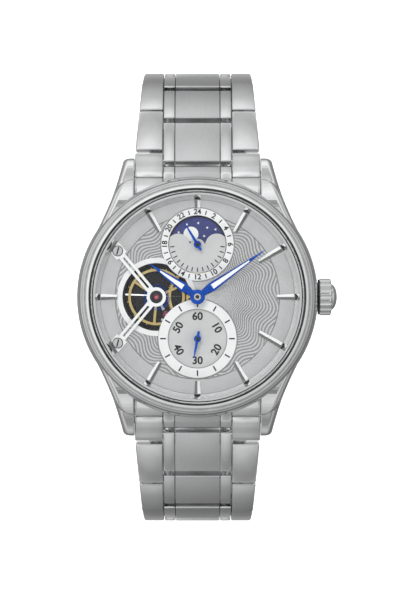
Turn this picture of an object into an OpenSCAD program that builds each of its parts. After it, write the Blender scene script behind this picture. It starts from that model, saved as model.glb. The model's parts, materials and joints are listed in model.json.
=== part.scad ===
// Automatic wristwatch with an open balance aperture, a 24 hour day and night
// subdial, small seconds and a steel link bracelet with a folding clasp.
// The dial faces +Z, 12 o'clock points to +Y and the crown to +X.
// The origin is the centre of the case back's flat outer face.

/* [Case] */
// Radius of the case band at its widest
case_r = 21.05; // [21:0.05:21.2]
// Height of the case band's top edge above the case back
case_top = 9.4; // [9.3:0.1:9.5]
// Distance from the centre to a lug tip along the bracelet
lug_reach = 24.4; // [24.3:0.1:24.5]
// Width of the gap between two lugs
lug_gap = 22.2; // [22.1:0.1:22.3]
// Height of the crown's axis
crown_z = 4.9; // [4.85:0.05:4.95]

/* [Dial] */
// Height of the dial's top face
dial_top = 8.4; // [8.35:0.05:8.4]
// Distance from the centre to the balance axis, towards 9 o'clock
heart_x = 7.16; // [7.1:0.02:7.2]
// Distance from the centre to the 24 hour subdial's axis, towards 12 o'clock
day_y = 9.14; // [9.14:0.01:9.16]
// Distance from the centre to the small seconds axis, towards 6 o'clock
sec_y = 7.26; // [7.24:0.01:7.28]

/* [Hands] */
// Time shown, in minutes after 12 o'clock
minutes_past = 609.2; // [0:0.1:719]
// Length of the minute hand from its axis
minute_len = 14.07; // [12:0.1:14.2]
// Length of the hour hand from its axis
hour_len = 10.1; // [9:0.1:10.3]

/* [Bracelet] */
// Distance between two neighbouring hinge pins
pitch = 8; // [7.9:0.1:8.1]
// Thickness of a link
link_t = 2.9; // [2.8:0.1:3]
// Width of the brushed centre link
centre_w = 7.9; // [7.6:0.1:8]
// Gap between neighbouring rows of links
row_gap = 0.2; // [0.18:0.01:0.24]

/* [Hidden] */
$fn = 64;

// Colours
steel = [0.78, 0.79, 0.80];
silver = [0.86, 0.86, 0.86];
brass = [0.83, 0.67, 0.36];
blue = [0.10, 0.22, 0.62];
night = [0.12, 0.15, 0.35];
ruby = [0.75, 0.08, 0.22];
glass = [0.85, 0.92, 0.95, 0.4];
black = [0.12, 0.12, 0.12];

// Fits: gap of a turning pin, gap of two parts that only sit together
run = 0.04;
seat = 0.05;
cut = 1;

// Case
case_bottom = 1.0;
back_bore = 17.65;
dial_bore = 18.2;
dial_seat = dial_top - 0.5;
crystal_r = 18.5;
crystal_z = case_top + 1.2;
crystal_top = crystal_z + 1.7;
bezel_r = case_r - 0.5;
lug_in = lug_gap / 2;
bar_y = lug_reach - 3;
bar_z = 2.3;
tube_r = 1.4;
crown_r = 3.25;
crown_x = case_r + 0.15;
crown_len = 3.25;
stem_r = 0.55;

// Movement levels
bridge_z = 3.4;
bridge_t = 0.7;
bridge_r = 15.4;
plate_z = 5.9;
plate_t = 1.2;
plate_r = 16.6;
plate_top = plate_z + plate_t;
arbor_r = 0.25;
pivot_r = 0.11;
jewel_r = 0.6;
train_low = 3.85;
train_high = 5.85;
pallet_top = plate_z + 0.22;
plate_hole_r = 5.6;
motion_z = plate_top + 0.04;
hour_z = plate_top + 0.3;
pillar_r = 14.2;
pillar_at = [20, 75, 115, 160, 205, 250, 290, 335];

// Dial fittings: each marker's hour and inner radius
dial_edge_r = 16.8;
marker_from = [[12, 15.52], [1, 13.1], [2, 12.3], [3, 13.8], [4, 12.3], [5, 13.1],
    [6, 14.6], [7, 13.1], [9, 14.02], [11, 13.1]];
marker_h = 0.8;
pad_a = [150, 210];
pad_r = 16.0;
day_ring_r = 6.3;
sec_ring_r = 6.8;
heart_ring_r = 6.8;
heart_hole_r = 5.9;
ring_gap = 0.05;
hub_hole_r = 1.15;
subdial_h = 0.22;

// Hand levels
small_hand_z = dial_top + 0.45;
hour_hand_z = dial_top + 0.9;
minute_hand_z = dial_top + 1.35;
hand_t = 0.2;

// Gear train: teeth, modules and places
centre_t = 80;
third_p = 10;
third_t = 75;
fourth_p = 10;
fourth_t = 80;
escape_p = 8;
barrel_t = 66;
centre_p = 12;
cannon_t = 12;
minute_t = 36;
minute_p = 10;
hour_t = 40;
idler_t = 31;
day_t = 80;
m_centre = 0.13;
m_third = 0.12;
m_fourth = 0.1;
m_barrel = 0.16;
m_hour = 0.1;
third_d = m_centre * (centre_t + third_p) / 2;
fourth_d = m_third * (third_t + fourth_p) / 2;
escape_d = m_fourth * (fourth_t + escape_p) / 2;
barrel_d = m_barrel * (barrel_t + centre_p) / 2;
minute_d = m_hour * (hour_t + minute_p) / 2;
m_minute = 2 * minute_d / (cannon_t + minute_t);
idler_y = m_hour * (hour_t + idler_t) / 2 + 0.02;

fourth_at = [0, -sec_y];
third_y = (third_d * third_d - fourth_d * fourth_d + sec_y * sec_y) / (2 * sec_y);
third_at = [sqrt(third_d * third_d - third_y * third_y), -third_y];
escape_a = 158;
escape_at = fourth_at + escape_d * [cos(escape_a), sin(escape_a)];
barrel_a = 70;
barrel_at = barrel_d * [cos(barrel_a), sin(barrel_a)];
minute_a = -45;
minute_at = minute_d * [cos(minute_a), sin(minute_a)];
idler_at = [0, idler_y];
day_at = [0, day_y];
balance_at = [-heart_x, 0];
fork_dir = (balance_at - escape_at) / norm(balance_at - escape_at);
fork_at = escape_at + 2.9 * fork_dir;

pivots = [third_at, fourth_at, escape_at, fork_at];
escape_n = 15;
escape_tip = 2.2;
spring_coils = 6;
balance_r = 4.95;

// Gear phases, so that every pair is in mesh at rest
function heading(from, to) = atan2(to[1] - from[1], to[0] - from[0]);
function mesh_phase(za, aa, zb, phi) = phi + 180 + (180 - za * (aa - phi)) / zb;
hub = [0, 0];
third_phase = mesh_phase(centre_t, 0, third_p, heading(hub, third_at));
fourth_phase = mesh_phase(third_t, 0, fourth_p, heading(third_at, fourth_at));
escape_phase = mesh_phase(fourth_t, 0, escape_p, escape_a);
barrel_phase = mesh_phase(centre_p, 0, barrel_t, barrel_a);
minute_phase = mesh_phase(cannon_t, 0, minute_t, minute_a);
pinion_phase = mesh_phase(hour_t, 0, minute_p, minute_a);
idler_phase = mesh_phase(hour_t, 0, idler_t, 90);
day_phase = mesh_phase(idler_t, idler_phase, day_t, 90);

// Hand angles, anticlockwise from +X
minute_hand_a = 90 - 6 * (minutes_past % 60);
hour_hand_a = 90 - minutes_past / 2;
day_hand_a = 121;
seconds_hand_a = 90 - 190.6;

// Bracelet loop: how far each row points down below the dial's plane
row_down = [24, 47, 72, 98, 124, 150, 172];
row_w = [21.9, 20.7, 19.9, 19.4, 19.0, 18.6, 18.3, 18.0];
first_pin = [24.3, 2.5];
reach = 1.05;
slope = 0.7;
strip_w = 2.0;
side_gap = 0.05;
pin_r = 0.55;
half_t = link_t / 2;
strip_in = centre_w / 2 + side_gap;
strip_out = strip_in + strip_w;
outer_in = strip_out + 0.1;
function pin_y(i) = i == 0 ? first_pin[0] : pin_y(i - 1) + pitch * cos(row_down[i - 1]);
function pin_z(i) = i == 0 ? first_pin[1] : pin_z(i - 1) - pitch * sin(row_down[i - 1]);
rows = len(row_down);
end_y = pin_y(rows);
end_z = pin_z(rows);

// Clasp
cover_bottom = end_z - 2.3;
cover_plate = 0.9;
cover_w = 18;
wall_in = 8.2;
cover_front = end_y - 1.5;
cover_back = -(end_y - 2.4);
middle_pin = [cover_back + 1.3, end_z - 0.25];
inner_pin = [cover_front - 2.0, end_z + 0.35];
knuckle_r = 0.95;
blade_t = 0.8;
blade_w = 5.5;
knuckle_w = 2.5;
blade_pin_r = 0.45;
blade_room = 0.6;
button_y = 5;
button_len = 5;
button_h = 1.6;

// Basic shapes
module ring(r_out, r_in, h) {
    difference() {
        cylinder(r = r_out, h = h);
        translate([0, 0, -cut]) cylinder(r = r_in, h = h + 2 * cut);
    }
}
module at(place, z = 0) {
    translate([place[0], place[1], z]) children();
}
module along_x(r, x0, x1, y, z) {
    translate([x0, y, z]) rotate([0, 90, 0]) cylinder(r = r, h = x1 - x0);
}
// A (y, z) outline carried along x from x0 to x1
module slab_x(points, x0, x1) {
    translate([x0, 0, 0]) rotate([90, 0, 90]) linear_extrude(x1 - x0) polygon(points);
}
module both_x() {
    children();
    mirror([1, 0, 0]) children();
}
module both_y() {
    children();
    mirror([0, 1, 0]) children();
}
function curve(p0, p1, p2, p3, n = 10) = [for (i = [0:n])
    let (t = i / n, s = 1 - t)
    s * s * s * p0 + 3 * s * s * t * p1 + 3 * s * t * t * p2 + t * t * t * p3];
function tooth_points(n, m, phase) = [for (i = [0:n - 1])
    let (a = phase + i * 360 / n, p = 360 / n, root = m * (n / 2 - 1.05), tip = m * (n / 2 + 0.75))
    for (q = [[root, -0.27], [tip, -0.11], [tip, 0.11], [root, 0.27]])
    [q[0] * cos(a + q[1] * p), q[0] * sin(a + q[1] * p)]];
module teeth(n, m, phase, z, h) {
    translate([0, 0, z]) linear_extrude(h) polygon(tooth_points(n, m, phase));
}
// Toothed wheel with crossings, carried by its arbor
module wheel(n, m, phase, z, h, arms, hub_r, rim) {
    inner = m * n / 2 - rim;
    difference() {
        teeth(n, m, phase, z, h);
        translate([0, 0, z - cut]) linear_extrude(h + 2 * cut) difference() {
            circle(r = inner);
            circle(r = hub_r);
            for (i = [0:arms - 1]) rotate(i * 360 / arms) translate([0, -0.22])
                square([inner + 1, 0.44]);
        }
    }
}
// Arbor with a thin pivot at each end
module arbor(z0, z1, r = arbor_r) {
    translate([0, 0, z0]) cylinder(r = r, h = z1 - z0);
    translate([0, 0, z0 - 0.35]) cylinder(r = pivot_r, h = z1 - z0 + 0.7);
}

// Case
function case_outline(grow) = [[0, case_bottom - grow], [18.8 + grow, case_bottom - grow],
    [19.7 + grow, 1.5 - grow / 2], [20.7 + grow, 2.9], [case_r + grow, 4.2], [case_r + grow, 7.4],
    [20.95 + grow, 8.3], [bezel_r + grow, case_top + grow], [0, case_top + grow]];
module lug() {
    tip = lug_reach - 0.35;
    side = concat(curve([11, 9.2], [16.5, 9.3], [20.5, 8.1], [tip, 5.2]),
        curve([tip, 5.2], [tip + 0.2, 5.0], [lug_reach, 4.8], [lug_reach, 4.4], 3),
        curve([lug_reach, 1.4], [lug_reach - 0.1, 0.4], [23.4, 0.3], [21.5, 0.5], 5), [[11, 1.3]]);
    plan = concat(curve([18.6, 9.6], [15.8, 15.0], [14.6, 17.5], [13.2, lug_reach - 1], 12),
        curve([13.2, lug_reach - 0.9], [13.0, lug_reach - 0.2], [12.9, lug_reach], [12.3, lug_reach], 4),
        [[lug_in, lug_reach], [lug_in, 9.6]]);
    intersection() {
        slab_x(side, lug_in, 20);
        linear_extrude(12) polygon(plan);
    }
}
module case_middle() {
    color(steel) difference() {
        union() {
            rotate_extrude() polygon(case_outline(0));
            both_x() both_y() lug();
        }
        cylinder(r = back_bore, h = 12);
        translate([0, 0, dial_seat]) cylinder(r = dial_bore, h = 5);
        along_x(tube_r, 15, 24, 0, crown_z);
        both_x() both_y() along_x(0.4, lug_in - cut, lug_in + 1.2, bar_y, bar_z);
    }
}
module bezel() {
    seat_r = crystal_r + 0.25;
    color(steel) rotate_extrude() polygon([[dial_bore + seat, case_top], [bezel_r, case_top],
        [bezel_r, case_top + 0.9], [bezel_r - 0.3, case_top + 1.4], [19.7, case_top + 1.75],
        [19.6, case_top + 1.5], [19.5, case_top + 1.75], [19.35, case_top + 2.3],
        [seat_r + 0.1, case_top + 2.4], [seat_r, case_top + 2.3], [seat_r, crystal_z],
        [dial_bore + seat, crystal_z]]);
}
module crystal() {
    dome = curve([crystal_r, crystal_z + 1.2], [crystal_r, crystal_top - 0.3],
        [crystal_r - 0.8, crystal_top - 0.05], [crystal_r - 2.2, crystal_top], 6);
    color(glass) rotate_extrude() polygon(concat([[0, crystal_z], [crystal_r, crystal_z]], dome,
        [[0, crystal_top]]));
}
module crystal_gasket() {
    color(black) translate([0, 0, crystal_z + 0.02]) ring(crystal_r + 0.23, crystal_r + 0.02, 1.1);
}
module case_back() {
    color(steel) difference() {
        rotate_extrude() polygon([[12.8, 0], [18.3, 0], [18.6, 0.3], [18.6, case_bottom - 0.02],
            [17.55, case_bottom - 0.02], [17.55, 2.6], [16.7, 2.6], [16.7, 1.5], [13.6, 1.5],
            [13.6, 1.2], [12.8, 1.2]]);
        for (a = [0:60:300]) rotate(a) translate([17.2, -1, -cut]) cube([3, 2, cut + 0.7]);
    }
}
module case_back_crystal() {
    color(glass) {
        cylinder(r = 12.75, h = 1.23);
        translate([0, 0, 1.22]) cylinder(r = 13.5, h = 0.28);
    }
}
module crown_tube() {
    color(steel) difference() {
        along_x(tube_r, 17.8, crown_x + 0.6, 0, crown_z);
        along_x(stem_r + 0.05, 15, 24, 0, crown_z);
    }
}
module movement_ring() {
    color(silver) difference() {
        translate([0, 0, 3]) ring(back_bore - seat, plate_r + seat, dial_seat - 3.05);
        along_x(1.45, 15, 19, 0, crown_z);
    }
}

// Dial and its fittings
module heart_hole(r) {
    difference() {
        at(balance_at) circle(r = r);
        at(fourth_at) circle(r = sec_ring_r + ring_gap);
        at(day_at) circle(r = day_ring_r + ring_gap);
    }
}
module dial() {
    color(silver) translate([0, 0, dial_top - 0.4]) linear_extrude(0.4) difference() {
        circle(r = dial_bore - 0.1);
        circle(r = hub_hole_r);
        heart_hole(heart_hole_r);
        at(fourth_at) circle(r = 5.15);
        at(day_at) circle(r = 5.05);
        for (a = pad_a) rotate(a) translate([pad_r, 0]) circle(r = 0.45);
    }
}
module rehaut() {
    z = dial_top + 0.02;
    color(silver) rotate_extrude() polygon([[16.9, z], [18.1, z], [18.1, crystal_z - 0.05],
        [17.75, crystal_z - 0.05], [17.7, crystal_z - 0.3]]);
}
module hour_markers() {
    for (m = marker_from) {
        color(silver) rotate(90 - 30 * m[0]) intersection() {
            translate([m[1], 0, dial_top + 0.02]) rotate([90, 0, 90]) linear_extrude(dial_edge_r - m[1])
                polygon([[-0.55, 0], [0.55, 0], [0.55, 0.35], [0, marker_h], [-0.55, 0.35]]);
            linear_extrude(12) polygon([[m[1], -0.4], [17.5, -0.56], [17.5, 0.56], [m[1], 0.4]]);
        }
    }
}
module hump_plate() {
    difference() {
        circle(r = 4.95);
        difference() {
            translate([-5, 0.15]) square([10, 6]);
            for (s = [-1, 1]) translate([3.35 * s, -0.1]) circle(r = 2.0);
            translate([0, -0.35]) circle(r = 1.35);
        }
        circle(r = 0.4);
    }
}
module subdial_plates() {
    color(silver) at(day_at, dial_top - 0.4) linear_extrude(0.3) hump_plate();
    color(silver) at(fourth_at, dial_top - 0.45) ring(5.1, 0.35, 0.2);
}
module subdial_rings() {
    z = dial_top + 0.01;
    color(silver) difference() {
        at(fourth_at, z) ring(sec_ring_r, 5.2, subdial_h);
        cylinder(r = hub_hole_r, h = 12);
    }
    color(silver) at(day_at, z) ring(day_ring_r, 5.1, subdial_h);
    color(silver) translate([0, 0, z]) linear_extrude(0.16) difference() {
        heart_hole(heart_ring_r);
        at(balance_at) circle(r = heart_hole_r);
        circle(r = 1.5);
        for (a = pad_a) rotate(a) translate([pad_r - 1.15, -1.15]) square(2.3);
    }
}
module bridge_arm(a) {
    pad = pad_r * [cos(a), sin(a)];
    aim = heading(balance_at, pad);
    len = norm(pad - balance_at);
    z = dial_top + 0.25;
    difference() {
        union() {
            at(balance_at, z) rotate(aim) translate([1.3, -0.65, 0]) cube([len - 1.3, 1.3, 0.5]);
            at(pad, dial_top + 0.02) rotate(aim) translate([-1.1, -1.1, 0]) cube([2.2, 2.2, 0.75]);
        }
        at(balance_at, z - cut) rotate(aim) translate([2.1, -0.18, 0]) cube([len - 3.6, 0.36, 3]);
        at(pad, 0) cylinder(r = 0.42, h = 12);
        at(balance_at, z - cut) cylinder(r = 1.4, h = 3);
    }
}
module heart_bridge() {
    color(steel) intersection() {
        union() {
            for (a = pad_a) bridge_arm(a);
            at(balance_at, dial_top - 0.3) ring(1.68, 1.12, 1.05);
        }
        cylinder(r = dial_edge_r, h = 12);
    }
}
module slotted_screw(head_r, head_h, shank_r, shank_l) {
    difference() {
        cylinder(r = head_r, h = head_h);
        translate([-head_r - cut, -0.1, head_h * 0.5]) cube([2 * head_r + 2 * cut, 0.2, head_h]);
    }
    translate([0, 0, -shank_l]) cylinder(r = shank_r, h = shank_l + 0.01);
}
module screws() {
    for (a = pad_a) color(steel) at(pad_r * [cos(a), sin(a)], dial_top + 0.79) rotate(75)
        slotted_screw(0.8, 0.25, 0.38, 1.6);
    for (a = pillar_at) color(blue) at(pillar_r * [cos(a), sin(a)], bridge_z - 0.01) rotate([180, 0, 35])
        slotted_screw(0.7, 0.25, 0.33, 2.9);
    color(blue) translate([0, 0, 1.88]) rotate([180, 0, 20]) slotted_screw(1.5, 0.3, 0.4, 1.2);
}

// Movement frame
// Arm under the balance that holds the pallet fork's upper jewel
module pallet_arm() {
    far = norm(fork_at - balance_at);
    at(balance_at, plate_z) rotate(heading(balance_at, fork_at)) difference() {
        union() {
            translate([far, 0, 0]) cylinder(r = 0.95, h = pallet_top - plate_z);
            translate([far, -0.7, 0]) cube([plate_hole_r + 0.15 - far, 1.4, pallet_top - plate_z]);
        }
        translate([far, 0, -cut]) cylinder(r = jewel_r, h = 3);
    }
}
module main_plate() {
    color(silver) difference() {
        translate([0, 0, plate_z]) cylinder(r = plate_r, h = plate_t);
        translate([0, 0, plate_z - cut]) {
            at(balance_at) cylinder(r = plate_hole_r, h = 4);
            cylinder(r = 0.4, h = 4);
            at(fourth_at) cylinder(r = 0.32, h = 4);
            at(day_at) cylinder(r = 0.34, h = 4);
            at(barrel_at) cylinder(r = 0.75, h = 1.6);
            for (p = [third_at, escape_at]) at(p) cylinder(r = jewel_r, h = 1.5);
            for (a = pillar_at) rotate(a) translate([pillar_r, 0, 0]) cylinder(r = 0.34, h = 1.5);
        }
        for (a = pad_a) at(pad_r * [cos(a), sin(a)], plate_z) cylinder(r = 0.4, h = 3);
    }
    color(silver) pallet_arm();
    color(silver) at(minute_at, plate_top - 0.01) cylinder(r = 0.25, h = 0.6);
    color(silver) at(idler_at, plate_top - 0.01) cylinder(r = 0.3, h = 0.55);
}
// A sector of the bridge level between two directions, with its pillars
module bridge_part(a0, a1) {
    posts = [for (a = pillar_at) if (a > a0 && a < a1) a];
    gap_a = 0.6;
    step_a = (a1 - a0 - 2 * gap_a) / 8;
    sector = [for (i = [0:8]) let (a = a0 + gap_a + step_a * i) 22 * [cos(a), sin(a)]];
    difference() {
        union() {
            translate([0, 0, bridge_z]) intersection() {
                cylinder(r = bridge_r, h = bridge_t);
                linear_extrude(3) polygon(concat([[0, 0]], sector));
            }
            for (a = posts) rotate(a) translate([pillar_r, 0, bridge_z])
                cylinder(r = 0.95, h = plate_z - bridge_z - 0.02);
        }
        for (a = posts) rotate(a) translate([pillar_r, 0, 0]) cylinder(r = 0.36, h = 10);
        translate([0, 0, bridge_z - cut]) {
            cylinder(r = 1.25, h = 4);
            at(barrel_at) cylinder(r = 0.75, h = 4);
            at(balance_at) cylinder(r = jewel_r, h = 4);
            for (p = pivots) at(p) cylinder(r = jewel_r, h = 4);
        }
    }
}
module bridges() {
    color(silver) bridge_part(0, 178);
    color(silver) bridge_part(178, 268);
    color(silver) bridge_part(268, 360);
    color(silver) translate([0, 0, 1.95]) difference() {
        cylinder(r = 1.2, h = bridge_z - 1.95 + bridge_t - 0.1);
        translate([0, 0, -cut]) cylinder(r = 0.42, h = 5);
    }
}
module jewel(z) {
    translate([0, 0, z]) ring(jewel_r - 0.02, pivot_r + 0.03, 0.3);
}
module jewels() {
    for (p = concat(pivots, [balance_at])) color(ruby) at(p) jewel(bridge_z + 0.05);
    for (p = [third_at, escape_at]) color(ruby) at(p) jewel(plate_z + 0.12);
    color(ruby) at(fork_at) jewel(pallet_top - 0.28);
    color(ruby) at(balance_at, dial_top - 0.25) ring(1.08, pivot_r + 0.03, 0.35);
}

// Hands
// Leaf shaped hand with a slot that holds a strip of light paint
module leaf(len, wide_at, wide, neck) {
    polygon([[0.7, -neck / 2], [wide_at * 0.72, -neck / 2], [wide_at, -wide / 2], [len, -0.05],
        [len, 0.05], [wide_at, wide / 2], [wide_at * 0.72, neck / 2], [0.7, neck / 2]]);
}
module lume(len, wide_at, wide) {
    polygon([[wide_at * 1.05, -wide * 0.28], [len * 0.78, -0.12], [len * 0.78, 0.12],
        [wide_at * 1.05, wide * 0.28]]);
}
module leaf_hand(len, wide_at, wide, hub_r, bore, z, a) {
    color(blue) translate([0, 0, z]) rotate(a) linear_extrude(hand_t) difference() {
        union() {
            leaf(len, wide_at, wide, 1.06);
            circle(r = hub_r);
        }
        circle(r = bore);
        lume(len, wide_at, wide);
    }
    color("white") translate([0, 0, z + 0.02]) rotate(a) linear_extrude(hand_t - 0.04)
        lume(len, wide_at, wide);
}
module small_hand(len, tail, a) {
    color(blue) translate([0, 0, small_hand_z]) rotate(a) linear_extrude(hand_t) difference() {
        union() {
            polygon([[-tail, -0.22], [0, -0.24], [len * 0.55, -0.2], [len, -0.04], [len, 0.04],
                [len * 0.55, 0.2], [0, 0.24], [-tail, 0.22]]);
            circle(r = 0.63);
        }
        circle(r = arbor_r + 0.01);
    }
}
module minute_hand() {
    leaf_hand(minute_len, 3.0, 1.65, 1.26, 0.63, minute_hand_z, minute_hand_a);
}
module hour_hand() {
    leaf_hand(hour_len, 2.9, 1.7, 1.3, 0.96, hour_hand_z, hour_hand_a);
}
module seconds_hand() {
    at(fourth_at) small_hand(3.43, 1.33, seconds_hand_a);
}
module day_hand() {
    at(day_at) small_hand(4.46, 1.2, day_hand_a);
}

// Motion work
module hour_wheel() {
    color(brass) difference() {
        union() {
            wheel(hour_t, m_hour, 0, hour_z, 0.2, 4, 1.2, 0.35);
            translate([0, 0, hour_z]) cylinder(r = 0.95, h = hour_hand_z + hand_t - hour_z);
        }
        translate([0, 0, hour_z - cut]) cylinder(r = 0.67, h = 5);
    }
}
module centre_wheel() {
    color(brass) {
        wheel(centre_t, m_centre, 0, 5.4, 0.25, 5, 0.9, 0.55);
        teeth(centre_p, m_barrel, 0, 4.25, 0.42);
        translate([0, 0, 3.5]) cylinder(r = 0.34, h = minute_hand_z + 0.25 - 3.5);
    }
    color(steel) difference() {
        union() {
            teeth(cannon_t, m_minute, 0, motion_z, 0.18);
            translate([0, 0, motion_z]) cylinder(r = 0.5, h = 0.3);
            translate([0, 0, motion_z + 0.28])
                cylinder(r = 0.62, h = minute_hand_z + hand_t - motion_z - 0.28);
        }
        translate([0, 0, motion_z - cut]) cylinder(r = 0.345, h = 6);
    }
}
module minute_wheel() {
    color(brass) at(minute_at) difference() {
        union() {
            teeth(minute_t, m_minute, minute_phase, motion_z, 0.18);
            teeth(minute_p, m_hour, pinion_phase, motion_z + 0.17, 0.34);
        }
        translate([0, 0, motion_z - cut]) cylinder(r = 0.25 + run, h = 5);
    }
}
module idler_wheel() {
    color(brass) at(idler_at) difference() {
        teeth(idler_t, m_hour, idler_phase, hour_z, 0.2);
        translate([0, 0, hour_z - cut]) cylinder(r = 0.3 + run, h = 5);
    }
}
module day_wheel() {
    color(brass) at(day_at) {
        wheel(day_t, m_hour, day_phase, hour_z, 0.2, 4, 0.9, 0.5);
        translate([0, 0, plate_z + 0.1]) cylinder(r = arbor_r, h = small_hand_z + hand_t - plate_z - 0.05);
    }
}
module day_night_disc() {
    color(night) at(day_at, hour_z + 0.3) ring(4.8, arbor_r + 0.01, 0.15);
}

// Going train
module third_wheel() {
    color(brass) at(third_at) {
        wheel(third_t, m_third, 0, 4.3, 0.2, 5, 0.7, 0.5);
        teeth(third_p, m_centre, third_phase, 5.28, 0.5);
        arbor(train_low, train_high);
    }
}
module fourth_wheel() {
    color(brass) at(fourth_at) {
        wheel(fourth_t, m_fourth, 0, 4.65, 0.2, 5, 0.7, 0.45);
        teeth(fourth_p, m_third, fourth_phase, 4.22, 0.36);
        translate([0, 0, 3.5]) cylinder(r = pivot_r, h = 0.6);
        translate([0, 0, 4.1]) cylinder(r = arbor_r, h = small_hand_z + hand_t - 4.1 + 0.05);
    }
}
module escape_wheel() {
    hook = 360 / escape_n;
    tooth = [[1.55, 0], [escape_tip, 0.34], [escape_tip, 0.44], [1.6, 0.62]];
    color(brass) at(escape_at) {
        translate([0, 0, 5.0]) linear_extrude(0.2) difference() {
            polygon([for (i = [0:escape_n - 1]) for (q = tooth)
                q[0] * [cos((i + q[1]) * hook), sin((i + q[1]) * hook)]]);
            difference() {
                circle(r = 1.35);
                circle(r = 0.5);
                for (i = [0:3]) rotate(i * 90) translate([0, -0.15]) square([2, 0.3]);
            }
        }
        teeth(escape_p, m_fourth, escape_phase, 4.6, 0.32);
        arbor(train_low, train_high, 0.2);
    }
}
module pallet_fork() {
    aim = heading(fork_at, balance_at);
    color(steel) at(fork_at) rotate(aim) {
        translate([0, 0, 5.0]) linear_extrude(0.18) difference() {
            polygon([[-0.35, -1.3], [0.1, -0.35], [1.9, -0.16], [2.5, -0.42], [2.6, -0.3], [2.35, 0],
                [2.6, 0.3], [2.5, 0.42], [1.9, 0.16], [0.1, 0.35], [-0.35, 1.3], [-0.65, 1.25], [-0.4, 0],
                [-0.65, -1.25]]);
            circle(r = 0.12);
        }
        arbor(train_low, pallet_top - 0.33, 0.12);
    }
}
module balance_wheel() {
    color(brass) at(balance_at) {
        translate([0, 0, 6.2]) linear_extrude(0.4) {
            difference() {
                circle(r = balance_r);
                circle(r = balance_r - 0.45);
            }
            for (i = [0:2]) rotate(i * 120 + 25) translate([0, -0.22]) square([4.6, 0.44]);
            circle(r = 0.75);
        }
        for (i = [0:11]) rotate(i * 30 + 10) translate([balance_r - 0.05, 0, 6.4]) rotate([0, 90, 0])
            cylinder(r = 0.14, h = 0.3);
    }
    color(steel) at(balance_at) {
        arbor(train_low, dial_top - 0.32, 0.18);
        translate([0, 0, 5.0]) cylinder(r = 0.5, h = 0.18);
    }
}
module hairspring() {
    inner = 0.55;
    step = 0.3;
    n = 24 * spring_coils;
    path = [for (i = [0:n]) let (a = i * 15) [(inner + step * a / 360), a]];
    color(steel) at(balance_at, 6.78) linear_extrude(0.14) polygon(concat(
        [for (p = path) (p[0] + 0.035) * [cos(p[1]), sin(p[1])]],
        [for (i = [n:-1:0]) let (p = path[i]) (p[0] - 0.035) * [cos(p[1]), sin(p[1])]]));
}
module barrel() {
    color(brass) at(barrel_at) {
        teeth(barrel_t, m_barrel, barrel_phase, 4.3, 0.32);
        translate([0, 0, 4.6]) cylinder(r = 4.7, h = 0.65);
        translate([0, 0, 3.5]) cylinder(r = 0.7, h = 2.9);
    }
}
module rotor() {
    color(steel) difference() {
        union() {
            translate([0, 0, 2.45]) linear_extrude(0.4) union() {
                circle(r = 3.2);
                intersection() {
                    circle(r = 12);
                    translate([-12, -12]) square([24, 12]);
                }
            }
            translate([0, 0, 1.95]) cylinder(r = 3.2, h = 1.1);
            translate([0, 0, 1.95]) intersection() {
                ring(15.6, 11.6, 1.0);
                translate([-16, -16, 0]) cube([32, 16, 2]);
            }
        }
        cylinder(r = 1.2 + run, h = 6);
        for (a = [200, 235, 270, 305, 340]) rotate(a) translate([7.6, 0, 0]) cylinder(r = 1.7, h = 6);
    }
}

// Winding and setting
module crown() {
    flutes = 18;
    rim = crown_len - 1;
    shoulder = curve([rim - 0.4, crown_r], [rim - 0.1, crown_r], [rim, 3], [rim, 2.6], 5);
    dome = curve([rim, 2.3], [rim + 0.5, 2.2], [crown_len - 0.05, 1.4], [crown_len, 0.4], 7);
    color(steel) translate([crown_x, 0, crown_z]) rotate([0, 90, 0]) difference() {
        rotate_extrude() polygon(concat([[0, 0.9], [1.55, 0.9], [1.55, 0], [2.9, 0], [crown_r, 0.3]],
            [for (p = concat(shoulder, dome)) [p[1], p[0]]], [[0, crown_len]]));
        for (i = [0:flutes - 1]) rotate(i * 360 / flutes) translate([crown_r + 0.2, 0, -cut])
            cylinder(r = 0.42, h = crown_len);
    }
}
module stem() {
    color(steel) difference() {
        along_x(stem_r, 9.0, crown_x + 0.88, 0, crown_z);
        difference() {
            along_x(stem_r + cut, 9.9, 10.5, 0, crown_z);
            along_x(0.3, 9.8, 10.6, 0, crown_z);
        }
    }
    color(steel) for (x = [11.2, 12.6]) difference() {
        along_x(0.76, x, x + 1.1, 0, crown_z);
        along_x(stem_r + 0.01, x - cut, x + 3, 0, crown_z);
    }
}
module setting_lever() {
    color(steel) {
        translate([0, 0, 5.6]) linear_extrude(0.2) polygon([[9.95, -0.35], [10.45, -0.35], [11.2, 2.2],
            [12.4, 3.1], [11.6, 3.9], [10.9, 3.4], [10.0, 1.5]]);
        translate([10.2, 0, crown_z + 0.34]) cylinder(r = 0.22, h = 0.4);
    }
}

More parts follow.
